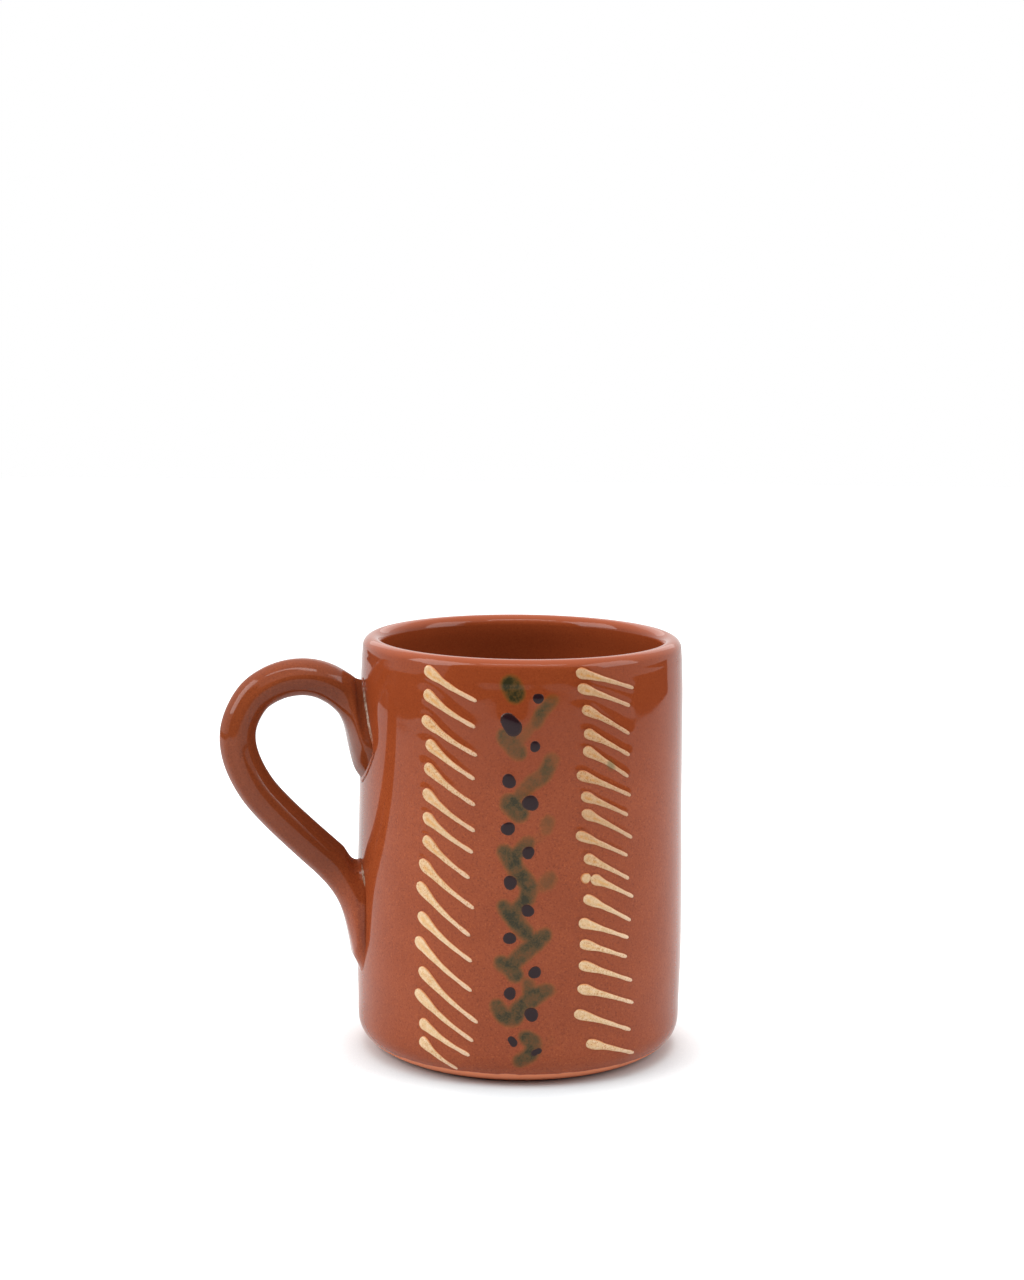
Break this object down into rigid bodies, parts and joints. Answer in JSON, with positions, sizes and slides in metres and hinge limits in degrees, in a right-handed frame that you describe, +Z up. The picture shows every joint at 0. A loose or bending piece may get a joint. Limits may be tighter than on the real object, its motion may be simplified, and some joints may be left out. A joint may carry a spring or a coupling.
{
  "type": "jarrito clay mug",
  "caption": "Straight-sided glazed clay mug with a pulled ear handle, raised cream slip strokes and a column of dark dots over green brushwork.",
  "frame": {"origin": "centre of the foot, on the plane that the mug stands on", "axes": "+Z up along the mug's axis; -X towards the handle; +Y away from the decorated face that the picture shows"},
  "size_m": [0.1212, 0.0858, 0.108],
  "materials": {
    "clay_body": "glossy clear glaze over red clay, finely speckled",
    "clay_handle": "glossy clear glaze over red clay",
    "joint_slip": "thin pale slip under clear glaze",
    "cream_slip": "raised cream slip under clear glaze",
    "dark_slip": "raised blue-black slip, glossy",
    "green_glaze": "thin dull green brushed glaze"
  },
  "bodies": {
    "root": {"body": "clay_body", "handle": "clay_handle", "upper_joint_slip": "joint_slip", "lower_joint_slip": "joint_slip", "front_left_strokes": "cream_slip", "front_right_strokes": "cream_slip", "front_dots": "dark_slip", "front_brush_marks": "green_glaze", "back_left_strokes": "cream_slip", "back_right_strokes": "cream_slip", "back_dots": "dark_slip", "back_brush_marks": "green_glaze"}
  },
  "joints": []
}
